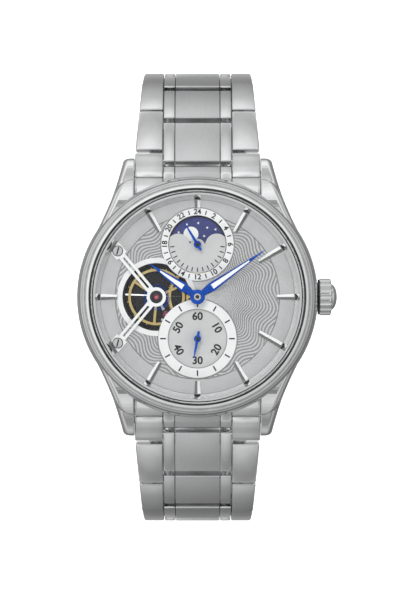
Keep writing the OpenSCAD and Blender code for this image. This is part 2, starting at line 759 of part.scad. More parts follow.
// Bracelet
// Outlines of a row in its own frame: y runs from one pin to the next
function centre_outline(end) = [[-reach + 0.25, half_t], [end - 0.25, half_t],
    [end, half_t - 0.25], [end - slope, -half_t], [-reach + slope, -half_t],
    [-reach, half_t - 0.25]];
function outer_outline() = [[reach + row_gap + 0.25, half_t], [pitch + reach - 0.25, half_t],
    [pitch + reach, half_t - 0.25], [pitch + reach - slope, -half_t],
    [reach + row_gap + slope, -half_t], [reach + row_gap, half_t - 0.25]];
module row_links(i) {
    w0 = row_w[i] / 2;
    w1 = row_w[i + 1] / 2;
    end = pitch - reach - row_gap - (i == rows - 1 ? blade_room : 0);
    color(steel) difference() {
        slab_x(centre_outline(end), -centre_w / 2, centre_w / 2);
        along_x(pin_r, -6, 6, 0, 0);
        along_x(0.4, -6, 6, pitch / 2, 0);
    }
    both_x() {
        color(silver) difference() {
            slab_x(centre_outline(end), strip_in, strip_out);
            along_x(pin_r, 0, 8, 0, 0);
            along_x(0.4, 0, 8, pitch / 2, 0);
        }
        color(steel) difference() {
            intersection() {
                slab_x(outer_outline(), outer_in, 12);
                translate([0, 0, -5]) linear_extrude(10)
                    polygon([[0, 1], [w0, 1], [w1, pitch + 1.1], [0, pitch + 1.1]]);
            }
            along_x(pin_r + run, 0, 14, pitch, 0);
            along_x(0.4, 0, 8, pitch / 2, 0);
        }
    }
    color(steel) along_x(pin_r - 0.005, -w0 + 0.4, w0 - 0.4, 0, 0);
    color(steel) along_x(0.395, -7.9, 7.9, pitch / 2, 0);
}
module row(i, side) {
    scale([1, side, 1]) translate([0, pin_y(i), pin_z(i)]) rotate([-row_down[i], 0, 0]) row_links(i);
}
module end_link() {
    y0 = first_pin[0];
    z0 = first_pin[1];
    top = z0 + half_t;
    body = [[16.5, 7.0], [19.2, 6.3], [21.2, 5.1], [y0 - 1.5, top + 0.15]];
    outer = concat(body, [[y0 + reach - 0.25, top], [y0 + reach, top - 0.25],
        [y0 + reach - slope, z0 - half_t], [16.5, z0 - half_t]]);
    inner = concat(body, [[y0 - reach - row_gap - 0.25, top], [y0 - reach - row_gap, top - 0.25],
        [y0 - reach - row_gap - slope, z0 - half_t], [16.5, z0 - half_t]]);
    color(steel) difference() {
        union() {
            slab_x(inner, -outer_in, outer_in);
            both_x() slab_x(outer, outer_in, lug_in - 0.1);
        }
        rotate_extrude() polygon(case_outline(0.1));
        along_x(pin_r + run, -14, 14, y0, z0);
        along_x(0.52, -14, 14, bar_y, bar_z);
    }
}
module end_links() {
    both_y() end_link();
}
module spring_bars() {
    color(steel) both_y() {
        along_x(0.5, -lug_in + 0.15, lug_in - 0.15, bar_y, bar_z);
        along_x(0.36, -lug_in - 1.0, lug_in + 1.0, bar_y, bar_z);
    }
}

// Folding clasp
module clasp_cover() {
    w = cover_w / 2;
    len = cover_front - cover_back;
    color(steel) difference() {
        union() {
            translate([-w, cover_back, cover_bottom]) cube([2 * w, len - 0.25, 4.2]);
            translate([-outer_in + 0.1, cover_front - 1, end_z - 1.3]) cube([2 * outer_in - 0.2, 2.5, 2.4]);
            along_x(1.3, -outer_in + 0.1, outer_in - 0.1, end_y, end_z);
        }
        translate([-wall_in, cover_back - cut, cover_bottom + cover_plate]) cube([2 * wall_in, len, 5]);
        along_x(pin_r, -12, 12, end_y, end_z);
        along_x(blade_pin_r, -w + 0.3, w - 0.3, middle_pin[0], middle_pin[1]);
        for (s = [0, 1]) mirror([s, 0, 0])
            translate([7, button_y - 0.05, end_z - button_h / 2 - 0.05])
                cube([5, button_len + 0.1, button_h + 0.1]);
    }
    color(steel) along_x(pin_r - 0.005, -w + 0.4, w - 0.4, end_y, end_z);
    color(steel) along_x(blade_pin_r - 0.005, -w + 0.31, w - 0.31, middle_pin[0], middle_pin[1]);
}
module clasp_middle_blade() {
    low = middle_pin[1] - blade_t / 2;
    color(steel) difference() {
        union() {
            slab_x([[middle_pin[0], low], [inner_pin[0] - 1.6, low], [inner_pin[0], inner_pin[1] - 0.5],
                [inner_pin[0], inner_pin[1] + 0.3], [inner_pin[0] - 1.9, low + blade_t],
                [middle_pin[0], low + blade_t]], -knuckle_w, knuckle_w);
            translate([-blade_w, middle_pin[0], low])
                cube([2 * blade_w, inner_pin[0] - middle_pin[0] - 2.2, blade_t]);
            along_x(knuckle_r, -blade_w, blade_w, middle_pin[0], middle_pin[1]);
            along_x(knuckle_r, -knuckle_w, knuckle_w, inner_pin[0], inner_pin[1]);
        }
        along_x(blade_pin_r + run, -12, 12, middle_pin[0], middle_pin[1]);
        along_x(blade_pin_r + run, -12, 12, inner_pin[0], inner_pin[1]);
    }
}
module clasp_inner_blade() {
    end = [-end_y, end_z];
    low = inner_pin[1] + 0.42;
    color(steel) difference() {
        union() {
            translate([-blade_w, end[0] + 1.6, low])
                cube([2 * blade_w, inner_pin[0] - end[0] - 3.2, blade_t]);
            slab_x([[end[0], end[1] - 0.2], [end[0], end[1] + 0.7], [end[0] + 1.8, low + blade_t],
                [end[0] + 1.8, low]], -4, 4);
            both_x() slab_x([[inner_pin[0] - 1.8, low], [inner_pin[0], inner_pin[1]],
                [inner_pin[0], inner_pin[1] + 0.9], [inner_pin[0] - 1.8, low + blade_t]],
                knuckle_w + 0.15, blade_w);
            both_x() along_x(knuckle_r, knuckle_w + 0.15, blade_w, inner_pin[0], inner_pin[1]);
            along_x(knuckle_r, -4, 4, end[0], end[1]);
        }
        along_x(blade_pin_r, -12, 12, inner_pin[0], inner_pin[1]);
        along_x(0.52, -12, 12, end[0], end[1]);
    }
    color(steel) along_x(blade_pin_r - 0.005, -blade_w, blade_w, inner_pin[0], inner_pin[1]);
    color(steel) along_x(0.51, -5.7, 5.7, end[0], end[1]);
}
module clasp_button(side) {
    color(silver) scale([side, 1, 1]) translate([7.6, button_y, end_z - button_h / 2])
        cube([2.3, button_len, button_h]);
}
module clasp_button_right() {
    clasp_button(1);
}
module clasp_button_left() {
    clasp_button(-1);
}

case_middle();
bezel();
crystal();
crystal_gasket();
case_back();
case_back_crystal();
crown_tube();
movement_ring();
dial();
rehaut();
hour_markers();
subdial_plates();
subdial_rings();
heart_bridge();
screws();
main_plate();
bridges();
jewels();
end_links();
spring_bars();
hour_wheel();
hour_hand();
centre_wheel();
minute_hand();
minute_wheel();
third_wheel();
fourth_wheel();
seconds_hand();
escape_wheel();
pallet_fork();
balance_wheel();
hairspring();
barrel();
idler_wheel();
day_wheel();
day_night_disc();
day_hand();
rotor();
crown();
stem();
setting_lever();
row(0, 1);  // links_12_1
row(1, 1);  // links_12_2
row(2, 1);  // links_12_3
row(3, 1);  // links_12_4
row(4, 1);  // links_12_5
row(5, 1);  // links_12_6
row(6, 1);  // links_12_7
row(0, -1);  // links_6_1
row(1, -1);  // links_6_2
row(2, -1);  // links_6_3
row(3, -1);  // links_6_4
row(4, -1);  // links_6_5
row(5, -1);  // links_6_6
row(6, -1);  // links_6_7
clasp_cover();
clasp_middle_blade();
clasp_inner_blade();
clasp_button_right();
clasp_button_left();
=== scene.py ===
"""Automatic wristwatch with an open heart dial and a steel link bracelet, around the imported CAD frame."""

import json
import math

import bmesh
import bpy
from mathutils import Matrix, Vector


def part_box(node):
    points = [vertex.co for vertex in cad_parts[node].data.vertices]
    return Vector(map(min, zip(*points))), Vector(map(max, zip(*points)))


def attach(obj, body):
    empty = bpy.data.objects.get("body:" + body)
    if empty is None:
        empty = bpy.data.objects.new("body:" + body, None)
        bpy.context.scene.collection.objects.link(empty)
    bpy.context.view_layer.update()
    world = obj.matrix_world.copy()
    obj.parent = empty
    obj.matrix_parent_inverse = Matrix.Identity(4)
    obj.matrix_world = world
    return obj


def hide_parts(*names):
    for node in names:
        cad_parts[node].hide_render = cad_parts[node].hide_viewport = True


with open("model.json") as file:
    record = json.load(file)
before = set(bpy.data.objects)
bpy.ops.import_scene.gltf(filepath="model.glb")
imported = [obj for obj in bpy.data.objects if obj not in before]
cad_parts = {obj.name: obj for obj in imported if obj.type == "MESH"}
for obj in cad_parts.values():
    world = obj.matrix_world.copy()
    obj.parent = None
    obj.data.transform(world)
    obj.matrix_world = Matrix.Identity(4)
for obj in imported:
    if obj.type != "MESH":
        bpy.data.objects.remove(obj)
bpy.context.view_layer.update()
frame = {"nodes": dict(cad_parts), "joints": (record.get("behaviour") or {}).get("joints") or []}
MM = 0.001
NODES = frame["nodes"]


# ---------------------------------------------------------------- places
def top_of(node):
    """Height of a CAD node's highest point, in metres."""
    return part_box(node)[1].z


def joint(name):
    """A joint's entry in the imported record."""
    return next(j for j in frame["joints"] if j["name"] == name)


def axis_of(name):
    """Where a joint's axis stands, in metres."""
    return Vector(joint(name)["pos_m"])


DIAL_TOP = top_of("dial")
RING_TOP = top_of("subdial_rings")
DISC_TOP = top_of("day_night_disc")
DAY = axis_of("day_night_turn")
SECONDS = axis_of("seconds_turn")
HEART = axis_of("balance_swing")
FLOOR_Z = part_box("clasp_cover")[0].z
PRINT_LIFT = 0.004 * MM
SECONDS_FACE = 8.15 * MM
MINUTES_SHOWN = 609.2


# ---------------------------------------------------------------- materials
class Nodes:
    """A small helper that builds a material's node tree."""

    def __init__(self, name):
        self.material = bpy.data.materials.new(name)
        self.material.use_nodes = True
        self.tree = self.material.node_tree
        self.tree.nodes.clear()
        self.out = self.add("ShaderNodeOutputMaterial")
        self.bsdf = self.add("ShaderNodeBsdfPrincipled")
        self.link(self.bsdf.outputs["BSDF"], self.out.inputs["Surface"])

    def add(self, kind, **values):
        node = self.tree.nodes.new(kind)
        for key, value in values.items():
            if key in node.inputs:
                node.inputs[key].default_value = value
            else:
                setattr(node, key, value)
        return node

    def link(self, a, b):
        self.tree.links.new(a, b)

    def where(self, scale=(1, 1, 1)):
        """Object coordinates, stretched by scale."""
        coord = self.add("ShaderNodeTexCoord")
        mapping = self.add("ShaderNodeMapping")
        mapping.inputs["Scale"].default_value = scale
        self.link(coord.outputs["Object"], mapping.inputs["Vector"])
        return mapping.outputs["Vector"]

    def noise(self, vector, scale, detail=3.0, rough=0.5):
        node = self.add("ShaderNodeTexNoise")
        node.inputs["Scale"].default_value = scale
        node.inputs["Detail"].default_value = detail
        node.inputs["Roughness"].default_value = rough
        self.link(vector, node.inputs["Vector"])
        return node.outputs["Fac"]

    def spread(self, value, low, high):
        """A 0 to 1 value carried to the span from low to high."""
        node = self.add("ShaderNodeMapRange")
        node.inputs["From Min"].default_value = 0.3
        node.inputs["From Max"].default_value = 0.7
        node.inputs["To Min"].default_value = low
        node.inputs["To Max"].default_value = high
        self.link(value, node.inputs["Value"])
        return node.outputs["Result"]

    def colours(self, value, low, high):
        """A 0 to 1 value carried to the span between two colours."""
        ramp = self.add("ShaderNodeValToRGB")
        ramp.color_ramp.elements[0].position = 0.3
        ramp.color_ramp.elements[1].position = 0.7
        ramp.color_ramp.elements[0].color = (*low, 1)
        ramp.color_ramp.elements[1].color = (*high, 1)
        self.link(value, ramp.inputs["Fac"])
        return ramp.outputs["Color"]

    def bump(self, value, depth, strength=1.0):
        node = self.add("ShaderNodeBump")
        node.inputs["Distance"].default_value = depth
        node.inputs["Strength"].default_value = strength
        self.link(value, node.inputs["Height"])
        self.link(node.outputs["Normal"], self.bsdf.inputs["Normal"])

    def set(self, **values):
        for key, value in values.items():
            self.bsdf.inputs[key.replace("_", " ")].default_value = value
        return self

    def feed(self, socket, name):
        self.link(socket, self.bsdf.inputs[name])


def metal(name, low, high, rough, grain=(1, 1, 1), scale=3000, depth=0.0, blotch=400):
    """Metal whose colour varies a little and whose grain may be stretched."""
    n = Nodes(name).set(Metallic=1.0)
    fine = n.noise(n.where(grain), scale, 4.0, 0.6)
    wide = n.noise(n.where(), blotch, 2.0)
    n.feed(n.colours(wide, low, high), "Base Color")
    n.feed(n.spread(fine, *rough), "Roughness")
    if depth:
        n.bump(fine, depth)
    return n.material


def lacquer(name, low, high, rough, coat=0.0, metallic=0.0, depth=0.0, scale=4000):
    """Paint, lacquer or satin plating with a fine tooth."""
    n = Nodes(name).set(Metallic=metallic, Coat_Weight=coat, Coat_Roughness=0.05)
    fine = n.noise(n.where(), scale, 3.0)
    wide = n.noise(n.where(), 300, 2.0)
    n.feed(n.colours(wide, low, high), "Base Color")
    n.feed(n.spread(fine, *rough), "Roughness")
    if depth:
        n.bump(fine, depth)
    return n.material


def glass(name):
    """Clear mineral glass: light goes straight through, and outer faces reflect at the Fresnel rate."""
    n = Nodes(name)
    clear = n.add("ShaderNodeBsdfTransparent")
    clear.inputs["Color"].default_value = (0.985, 0.99, 0.99, 1)
    shine = n.add("ShaderNodeBsdfGlossy")
    shine.inputs["Roughness"].default_value = 0.01
    fresnel = n.add("ShaderNodeFresnel")
    fresnel.inputs["IOR"].default_value = 1.35
    geometry = n.add("ShaderNodeNewGeometry")
    outside = n.add("ShaderNodeMath", operation="SUBTRACT")
    outside.inputs[0].default_value = 1.0
    n.link(geometry.outputs["Backfacing"], outside.inputs[1])
    share = n.add("ShaderNodeMath", operation="MULTIPLY")
    n.link(fresnel.outputs["Fac"], share.inputs[0])
    n.link(outside.outputs[0], share.inputs[1])
    mix = n.add("ShaderNodeMixShader")
    n.link(share.outputs[0], mix.inputs["Fac"])
    n.link(clear.outputs["BSDF"], mix.inputs[1])
    n.link(shine.outputs["BSDF"], mix.inputs[2])
    n.link(mix.outputs["Shader"], n.out.inputs["Surface"])
    n.tree.nodes.remove(n.bsdf)
    return n.material


def link_steel(name, half_width):
    """Bracelet row: brushed along the band in the middle, polished at the strips and outer links."""
    n = Nodes(name).set(Metallic=1.0)
    coord = n.add("ShaderNodeTexCoord")
    split = n.add("ShaderNodeSeparateXYZ")
    n.link(coord.outputs["Object"], split.inputs["Vector"])
    side = n.add("ShaderNodeMath", operation="ABSOLUTE")
    n.link(split.outputs["X"], side.inputs[0])
    inside = n.add("ShaderNodeMath", operation="LESS_THAN")
    n.link(side.outputs[0], inside.inputs[0])
    inside.inputs[1].default_value = half_width
    hair = n.noise(n.where((26, 0.8, 0.8)), 900, 5.0, 0.7)
    smear = n.noise(n.where(), 700, 2.0)
    mix = n.add("ShaderNodeMix", data_type="FLOAT")
    n.link(inside.outputs[0], mix.inputs["Factor"])
    n.link(n.spread(smear, 0.09, 0.15), mix.inputs["A"])
    n.link(n.spread(hair, 0.26, 0.40), mix.inputs["B"])
    n.feed(mix.outputs["Result"], "Roughness")
    n.feed(n.colours(hair, (0.60, 0.605, 0.61), (0.72, 0.725, 0.73)), "Base Color")
    height = n.add("ShaderNodeMath", operation="MULTIPLY")
    n.link(hair, height.inputs[0])
    n.link(inside.outputs[0], height.inputs[1])
    n.bump(height.outputs[0], 0.000012)
    return n.material


def bridge_plate(name):
    """Nickelled with brushed stripes below; the faces towards the dial are painted black as the shade under
    the dial.
    """
    n = Nodes(name).set(Metallic=1.0)
    geometry = n.add("ShaderNodeNewGeometry")
    split = n.add("ShaderNodeSeparateXYZ")
    n.link(geometry.outputs["True Normal"], split.inputs["Vector"])
    # painted shade: upward faces take the black colour
    up = n.add("ShaderNodeMath", operation="GREATER_THAN")
    up.inputs[1].default_value = 0.5
    n.link(split.outputs["Z"], up.inputs[0])
    hair = n.noise(n.where((8, 1, 1)), 700, 4.0, 0.6)
    mix = n.add("ShaderNodeMix", data_type="RGBA")
    n.link(up.outputs[0], mix.inputs["Factor"])
    n.link(n.colours(hair, (0.62, 0.62, 0.61), (0.74, 0.74, 0.73)), mix.inputs[6])
    n.link(n.colours(hair, (0.05, 0.05, 0.055), (0.09, 0.09, 0.095)), mix.inputs[7])
    n.feed(mix.outputs[2], "Base Color")
    n.feed(n.spread(hair, 0.22, 0.34), "Roughness")
    n.bump(hair, 0.000006)
    return n.material


def waved_silver(name):
    """Silver lacquer with painted shade: the engraved grooves, marked on the mesh, take a darker tone."""
    n = Nodes(name).set(Metallic=0.75)
    # painted shade: the groove mark darkens the base colour in the troughs
    groove_shade_mark = n.add("ShaderNodeAttribute", attribute_name="groove_shade")
    wide = n.noise(n.where(), 300, 2.0)
    mix = n.add("ShaderNodeMix", data_type="RGBA")
    n.link(groove_shade_mark.outputs["Fac"], mix.inputs["Factor"])
    n.link(n.colours(wide, (0.74, 0.74, 0.745), (0.80, 0.80, 0.805)), mix.inputs[6])
    n.link(n.colours(wide, (0.30, 0.30, 0.305), (0.35, 0.35, 0.355)), mix.inputs[7])
    n.feed(mix.outputs[2], "Base Color")
    n.feed(n.spread(wide, 0.16, 0.22), "Roughness")
    return n.material


M = {
    "polished": metal("polished_steel", (0.74, 0.745, 0.75), (0.80, 0.805, 0.81), (0.05, 0.10)),
    "brushed": metal("brushed_steel", (0.60, 0.60, 0.61), (0.72, 0.72, 0.73), (0.24, 0.38),
                     grain=(1, 24, 1), scale=900, depth=0.00001),
    "links": link_steel("link_steel", 3.96 * MM),
    "sides": metal("polished_sides", (0.72, 0.725, 0.73), (0.78, 0.785, 0.79), (0.10, 0.15)),
    "nickel": metal("nickel_plate", (0.62, 0.62, 0.61), (0.74, 0.74, 0.73), (0.22, 0.34),
                    grain=(8, 1, 1), scale=700, depth=0.000006),
    "bridge": bridge_plate("bridge_plate"),
    # near-black metal; on the main plate and in the cannon well it is painted shade
    "dark_and_shade": metal("black_rhodium_and_painted_shade", (0.05, 0.05, 0.055), (0.10, 0.10, 0.105), (0.25, 0.4),
                  grain=(1, 8, 1), scale=700, depth=0.000006),
    "gilt": metal("gilt_brass", (0.78, 0.58, 0.25), (0.88, 0.69, 0.34), (0.14, 0.24)),
    "blued": metal("blued_steel", (0.010, 0.085, 0.55), (0.025, 0.16, 0.80), (0.14, 0.22)),
    "waves": waved_silver("dial_waves_groove_shade"),
    # painted shade: a mid grey for the shaded marker facets, the groove ring and the ring edges
    "marker_shade": lacquer("marker_shade", (0.34, 0.34, 0.34), (0.42, 0.42, 0.42), (0.15, 0.25),
                            metallic=0.7),
    "dial": lacquer("dial_silver", (0.68, 0.68, 0.685), (0.74, 0.74, 0.745), (0.13, 0.18),
                    metallic=0.8),
    "pale": lacquer("dial_pale", (0.82, 0.82, 0.82), (0.88, 0.88, 0.88), (0.35, 0.5),
                    metallic=0.15, depth=0.000001),
    "mirror": metal("mirror_silver", (0.80, 0.80, 0.80), (0.86, 0.86, 0.86), (0.02, 0.05)),
    # painted highlight: near-white for the lit marker facets
    "marker": lacquer("marker_painted_highlight", (0.95, 0.95, 0.95), (0.99, 0.99, 0.99), (0.2, 0.3), coat=0.5),
    "plates": lacquer("dial_plate", (0.62, 0.62, 0.62), (0.68, 0.68, 0.68), (0.3, 0.42),
                      metallic=0.35, depth=0.000001),
    "open_bridge": lacquer("open_bridge_silver", (0.88, 0.88, 0.88), (0.94, 0.94, 0.94), (0.18, 0.28),
                           coat=0.3, metallic=0.2),
    "applied": metal("applied_silver", (0.80, 0.80, 0.80), (0.88, 0.88, 0.88), (0.10, 0.18)),
    "ink": lacquer("black_ink", (0.008, 0.008, 0.009), (0.02, 0.02, 0.022), (0.4, 0.6)),
    "night": lacquer("night_blue", (0.030, 0.040, 0.16), (0.045, 0.055, 0.21), (0.25, 0.4),
                     coat=0.4),
    "moon": lacquer("moon_white", (0.86, 0.85, 0.80), (0.93, 0.92, 0.88), (0.3, 0.5)),
    "lume": lacquer("light_paint", (0.84, 0.85, 0.82), (0.92, 0.93, 0.90), (0.6, 0.8), depth=0.000004),
    "ruby": lacquer("ruby", (0.55, 0.02, 0.12), (0.72, 0.05, 0.20), (0.05, 0.1), coat=1.0),
    "gasket": lacquer("gasket_black", (0.01, 0.01, 0.01), (0.03, 0.03, 0.03), (0.5, 0.7)),
    "glass": glass("mineral_glass"),
}


# ---------------------------------------------------------------- mesh helpers
def piece(name, verts, faces, body, slot, material, smooth=True):
    """A mesh piece from vertices in metres, riding on a body."""
    mesh = bpy.data.meshes.new(name)
    mesh.from_pydata([tuple(v) for v in verts], [], faces)
    mesh.validate()
    mesh.update()
    obj = bpy.data.objects.new(name, mesh)
    bpy.context.scene.collection.objects.link(obj)
    mesh.materials.append(M[material])
    if smooth:
        mesh.polygons.foreach_set("use_smooth", [True] * len(mesh.polygons))
    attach(obj, body)
    return obj


def soften(obj, width, angle=35, segments=2):
    """Rounds an object's edges and keeps its flats flat."""
    bevel = obj.modifiers.new("edge", "BEVEL")
    bevel.width = width
    bevel.segments = segments
    bevel.limit_method = "ANGLE"
    bevel.angle_limit = math.radians(angle)
    bevel.harden_normals = False
    obj.modifiers.new("flats", "WEIGHTED_NORMAL").keep_sharp = False


def rounded(points, radius, steps=3):
    """A closed (r, z) outline with its corners turned into short arcs."""
    out = []
    count = len(points)
    for i in range(count):
        here = Vector(points[i])
        before = Vector(points[i - 1]) - here
        after = Vector(points[(i + 1) % count]) - here
        reach = min(radius, before.length * 0.45, after.length * 0.45)
        a = here + before.normalized() * reach
        b = here + after.normalized() * reach
        for k in range(steps + 1):
            t = k / steps
            out.append((1 - t) ** 2 * a + 2 * t * (1 - t) * here + t * t * b)
    return out


def lathe(name, outline, body, slot, material, centre=(0, 0), turns=240, place=None):
    """A closed (r, z) outline in millimetres, turned about a vertical axis and carried to place."""
    place = place or Matrix.Identity(4)
    count = len(outline)
    verts = []
    for i in range(turns):
        a = 2 * math.pi * i / turns
        for r, z in outline:
            x, y = centre[0] + r * MM * math.cos(a), centre[1] + r * MM * math.sin(a)
            verts.append(place @ Vector((x, y, z * MM)))
    faces = []
    for i in range(turns):
        n = (i + 1) % turns
        for k in range(count):
            m = (k + 1) % count
            faces.append((i * count + k, n * count + k, n * count + m, i * count + m))
    return piece(name, verts, faces, body, slot, material)


def plate(name, outline, z0, z1, body, slot, material, bevel=0.0, place=None):
    """A flat outline in metres, carried from z0 to z1."""
    place = place or Matrix.Identity(4)
    count = len(outline)
    verts = [place @ Vector((x, y, z)) for z in (z0, z1) for x, y in outline]
    faces = [tuple(range(count))[::-1], tuple(range(count, 2 * count))]
    faces += [(i, (i + 1) % count, count + (i + 1) % count, count + i) for i in range(count)]
    obj = piece(name, verts, faces, body, slot, material, smooth=False)
    if bevel:
        soften(obj, bevel)
    return obj


def numeral(name, text, size, place, turn, z, body, bold=0.0):
    """A printed number: a raised font curve, centred on place."""
    curve = bpy.data.curves.new(name, "FONT")
    curve.body = text
    curve.size = size
    curve.align_x = "CENTER"
    curve.align_y = "CENTER"
    curve.extrude = 0.008 * MM
    curve.offset = bold
    curve.materials.append(M["ink"])
    obj = bpy.data.objects.new(name, curve)
    bpy.context.scene.collection.objects.link(obj)
    obj.location = (place[0], place[1], z)
    obj.rotation_euler = (0, 0, turn)
    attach(obj, body)
    return obj


def bars(name, spots, z, body, material, slot, height=0.012):
    """Printed bars: each spot is (centre x, y, angle, length, width), in millimetres and degrees."""
    verts = []
    faces = []
    for x, y, angle, length, width in spots:
        a = math.radians(angle)
        along = Vector((math.cos(a), math.sin(a))) * length / 2
        across = Vector((-math.sin(a), math.cos(a))) * width / 2
        corners = [Vector((x, y)) + s * along + t * across
                   for s, t in ((-1, -1), (1, -1), (1, 1), (-1, 1))]
        base = len(verts)
        verts += [(c.x * MM, c.y * MM, z) for c in corners]
        verts += [(c.x * MM, c.y * MM, z + height * MM) for c in corners]
        faces += [(base + 4, base + 5, base + 6, base + 7), (base + 3, base + 2, base + 1, base)]
        faces += [(base + i, base + (i + 1) % 4, base + 4 + (i + 1) % 4, base + 4 + i) for i in range(4)]
    return piece(name, verts, faces, body, slot, material, smooth=False)


# ---------------------------------------------------------------- dial
def guilloche():
    """Wavy engraved rings: a polar sheet whose height follows a spreading wave."""
    r_in, r_out, rings, spokes = 1.7, 14.2, 300, 720
    waves, swing, spacing, depth = 12, 1.15, 0.047, 0.03
    phase = math.radians(17)
    clear = ((HEART, 6.4), (SECONDS, 6.5), (DAY, 6.0))
    verts = []
    groove_shading = []
    keep = {}
    for i in range(rings + 1):
        r = r_in * (r_out / r_in) ** (i / rings)
        for k in range(spokes):
            a = 2 * math.pi * k / spokes
            x, y = r * math.cos(a), r * math.sin(a)
            if any(math.hypot(x - c.x / MM, y - c.y / MM) < gap for c, gap in clear):
                continue
            lines = math.log(r) / spacing + swing * math.sin(waves * (a + phase) + 1.2 * math.log(r))
            fade = min(1.0, (r - r_in) / 4.0)
            crest = 0.5 + 0.5 * math.sin(2 * math.pi * lines)
            high = DIAL_TOP / MM + 0.012 + depth * fade * crest
            keep[i, k] = len(verts)
            # painted shade: the troughs of the wave get a high mark, which the material darkens
            groove_shading.append(fade * (1 - crest) ** 1.5)
            verts.append((x * MM, y * MM, high * MM))
    faces = []
    for i in range(rings):
        for k in range(spokes):
            n = (k + 1) % spokes
            ring = [keep.get(q) for q in ((i, k), (i + 1, k), (i + 1, n), (i, n))]
            if None not in ring:
                faces.append(ring)
    field = piece("dial_guilloche", verts, faces, "case", "dial_silver", "waves")
    groove_shade_layer = field.data.attributes.new("groove_shade", "FLOAT", "POINT")
    groove_shade_layer.data.foreach_set("value", groove_shading)


def dial_band():
    """The plain outer band of the dial, a hair above the engraved field, with a dark ring painted as the
    shadow in the groove between them.
    """
    base = DIAL_TOP / MM
    start, line, end = 14.2, 14.36, 16.86
    foot = base + 0.005
    outline = rounded([(line, foot), (end, foot), (end, base + 0.06), (line, base + 0.06)], 0.03)
    lathe("dial_band", outline, "case", "dial_silver", "dial")
    # painted shadow: a dark ring in the step between the engraved field and the band
    outline = [(start, foot), (line, foot), (line, base + 0.02), (start, base + 0.02)]
    lathe("dial_groove_shadow", outline, "case", "dial_silver", "marker_shade")


# Hour, and where its marker starts
MARKERS = ((12, 15.52), (1, 13.1), (2, 12.3), (3, 13.8), (4, 12.3), (5, 13.1), (6, 14.6), (7, 13.1),
           (9, 14.02), (11, 13.1))


def markers():
    """Applied hour markers: a ridge with one facet painted light as its lit side and one painted grey as its
    shaded side.
    """
    base = DIAL_TOP / MM + 0.02
    halves = {1: ([], []), -1: ([], [])}
    for hour, start in MARKERS:
        a = math.radians(90 - 30 * hour)
        out = Vector((math.cos(a), math.sin(a)))
        side = Vector((-out.y, out.x))
        # painted light: on this side the top facet is coloured as lit; every other face is coloured as shaded
        lit_side = 1 if hour <= 6 else -1
        for sign in (1, -1):
            corners = []
            for r, wide in ((start, 0.40), (16.8, 0.54)):
                for across, z in ((0, base), (wide, base), (wide, base + 0.35), (0, base + 0.8)):
                    spot = out * r + side * sign * across
                    corners.append((spot.x * MM, spot.y * MM, z * MM))
            for ring in ((0, 1, 2, 3), (7, 6, 5, 4), (1, 0, 4, 5), (2, 1, 5, 6), (3, 2, 6, 7)):
                verts, faces = halves[1 if sign == lit_side and ring == (3, 2, 6, 7) else -1]
                here = len(verts)
                verts += [corners[i] for i in (ring if sign > 0 else ring[::-1])]
                faces.append((here, here + 1, here + 2, here + 3))
    for sign, name, finish in ((1, "markers_painted_lit", "marker"), (-1, "markers_painted_shaded", "marker_shade")):
        obj = piece(name, *halves[sign], "case", "polished_steel", finish, smooth=False)
        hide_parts("hour_markers")


def printed_scales():
    """Numbers and bars of the 24 hour ring and of the small seconds."""
    z = RING_TOP + PRINT_LIFT
    day = DAY / MM
    sec = SECONDS / MM
    for hour in range(2, 25, 2):
        a = math.radians(90 - 15 * hour)
        spot = (DAY.x + 5.68 * MM * math.cos(a), DAY.y + 5.68 * MM * math.sin(a))
        flip = math.pi if 8 <= hour <= 16 else 0
        numeral(f"hour_24_{hour}", str(hour), 1.3 * MM, spot, a - math.pi / 2 + flip, z, "case", 0.035 * MM)
    spots = []
    for hour in range(1, 25, 2):
        a = math.radians(90 - 15 * hour)
        spots.append((day.x + 5.68 * math.cos(a), day.y + 5.68 * math.sin(a), math.degrees(a), 0.75, 0.19))
    bars("hour_24_bars", spots, z, "case", "ink", "gasket_black")
    spots = []
    for i in range(15):
        a = math.radians(180 + 5 + 12.14 * i)
        spots.append((day.x + 4.4 * math.cos(a), day.y + 4.4 * math.sin(a), math.degrees(a), 0.75, 0.18))
    bars("day_plate_bars", spots, top_of("subdial_plates") + PRINT_LIFT, "case", "ink", "gasket_black")
    spots = []
    for i in range(12):
        a = math.radians(90 - 30 * i)
        far, length = (5.75, 0.5) if i == 0 else (6.0, 1.0)
        spots.append((sec.x + far * math.cos(a), sec.y + far * math.sin(a), math.degrees(a), length, 0.24))
    bars("seconds_bars", spots, z, "case", "ink", "gasket_black")
    for value in range(10, 61, 10):
        a = math.radians(90 - 6 * value)
        flip = math.pi if value in (20, 30, 40) else 0
        spot = (SECONDS.x + 3.85 * MM * math.cos(a), SECONDS.y + 3.85 * MM * math.sin(a))
        numeral(f"seconds_{value}", str(value), 1.85 * MM, spot, a - math.pi / 2 + flip,
                SECONDS_FACE + PRINT_LIFT, "case", 0.055 * MM)


def ring_lines():
    """Painted shadow lines where the applied rings meet the dial, open at the hub and the aperture."""
    z = DIAL_TOP + 0.05 * MM
    for name, centre, r, width in (("seconds_ring_shadow", SECONDS / MM, 6.93, 0.2),
                                   ("day_ring_shadow", DAY / MM, 6.42, 0.16)):
        spots = []
        for i in range(180):
            a = 2 * math.pi * i / 180
            x, y = centre.x + r * math.cos(a), centre.y + r * math.sin(a)
            if math.hypot(x, y) > 1.7 and math.hypot(x - HEART.x / MM, y - HEART.y / MM) > 6.9:
                spots.append((x, y, math.degrees(a) + 90, 2 * math.pi * r / 180, width))
        bars(name, spots, z, "case", "marker_shade", "dial_silver")


